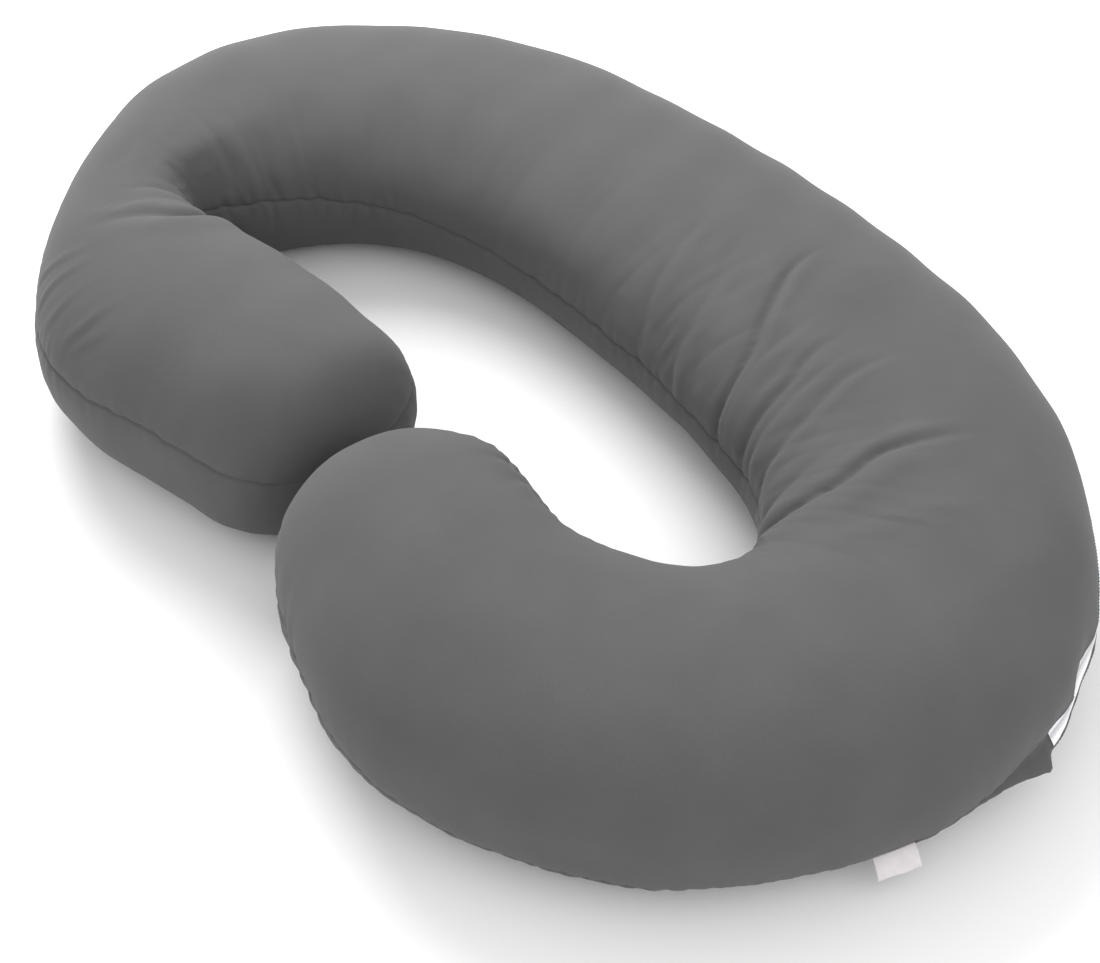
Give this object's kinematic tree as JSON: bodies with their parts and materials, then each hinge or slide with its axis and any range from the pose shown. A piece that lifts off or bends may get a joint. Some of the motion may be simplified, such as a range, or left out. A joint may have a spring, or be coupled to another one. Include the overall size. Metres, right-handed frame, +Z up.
{
  "type": "pregnancy pillow",
  "caption": "Full-length C-shaped body pillow in a grey jersey cover, curled on a flat surface with its two ends nearly meeting.",
  "frame": {"origin": "bottom centre of the whole pillow's box, on the surface it lies on", "axes": "+X towards the foot bend, along the longest side; +Y towards the back, with the two ends and their gap at -Y; +Z up"},
  "size_m": [1.2962, 0.8404, 0.2278],
  "materials": {
    "cover": "smooth fine cotton jersey, mid grey, matt with a faint soft sheen",
    "zip_tape": "white woven polyester zip tape",
    "zip_coil": "white nylon coil",
    "zip_metal": "nickel-plated slider and pull",
    "label": "white satin ribbon, plain"
  },
  "bodies": {
    "root": {"pillow": "cover", "zip_tape": "zip_tape", "zip_coil": "zip_coil", "zip_slider": "zip_metal", "zip_pull": "zip_metal", "label": "label"}
  },
  "joints": []
}
